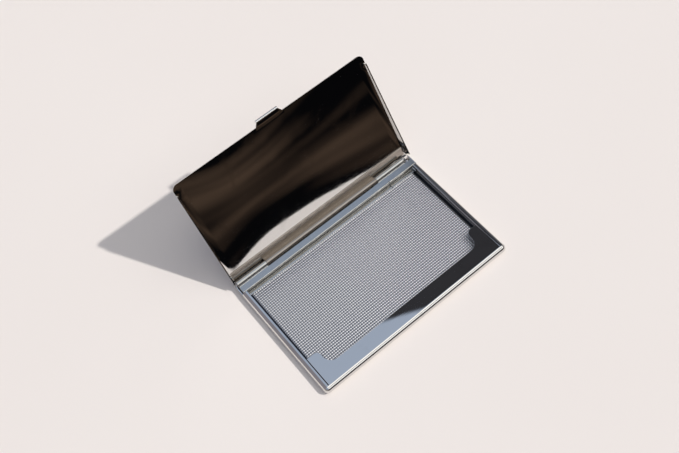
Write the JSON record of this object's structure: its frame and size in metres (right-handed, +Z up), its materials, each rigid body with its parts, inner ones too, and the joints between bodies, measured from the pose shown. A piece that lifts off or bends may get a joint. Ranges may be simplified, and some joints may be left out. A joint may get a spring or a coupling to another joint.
{
  "type": "business card case",
  "caption": "Slim hinged business card case in polished sheet steel, with a textured tray, a retaining lip and a lid with a thumb tab.",
  "frame": {"origin": "middle of the underside of the base", "axes": "+X along the hinge, +Y towards the hinge side, +Z up; the lid stands open at its stop"},
  "size_m": [0.095, 0.0908, 0.0488],
  "materials": {
    "polished_shell": "mirror-polished stainless steel",
    "embossed_tray": "stainless steel rolled with a fine basket-weave pattern",
    "hinge_steel": "bright-rolled stainless steel",
    "spring_steel": "plain hard-rolled spring steel"
  },
  "bodies": {
    "base": {"base_shell": "polished_shell", "card_tray": "embossed_tray", "base_hinge_leaf": "hinge_steel", "snap_spring": "spring_steel", "hinge_pin": "hinge_steel"},
    "lid": {"lid_shell": "polished_shell", "lid_hinge_leaf": "hinge_steel"}
  },
  "joints": [
    {"name": "lid_hinge", "type": "hinge", "parent": "base", "child": "lid", "pos_m": [0, 0.0294, 0.0041], "axis": [1, 0, 0], "range_deg": [0, 123.2]}
  ]
}
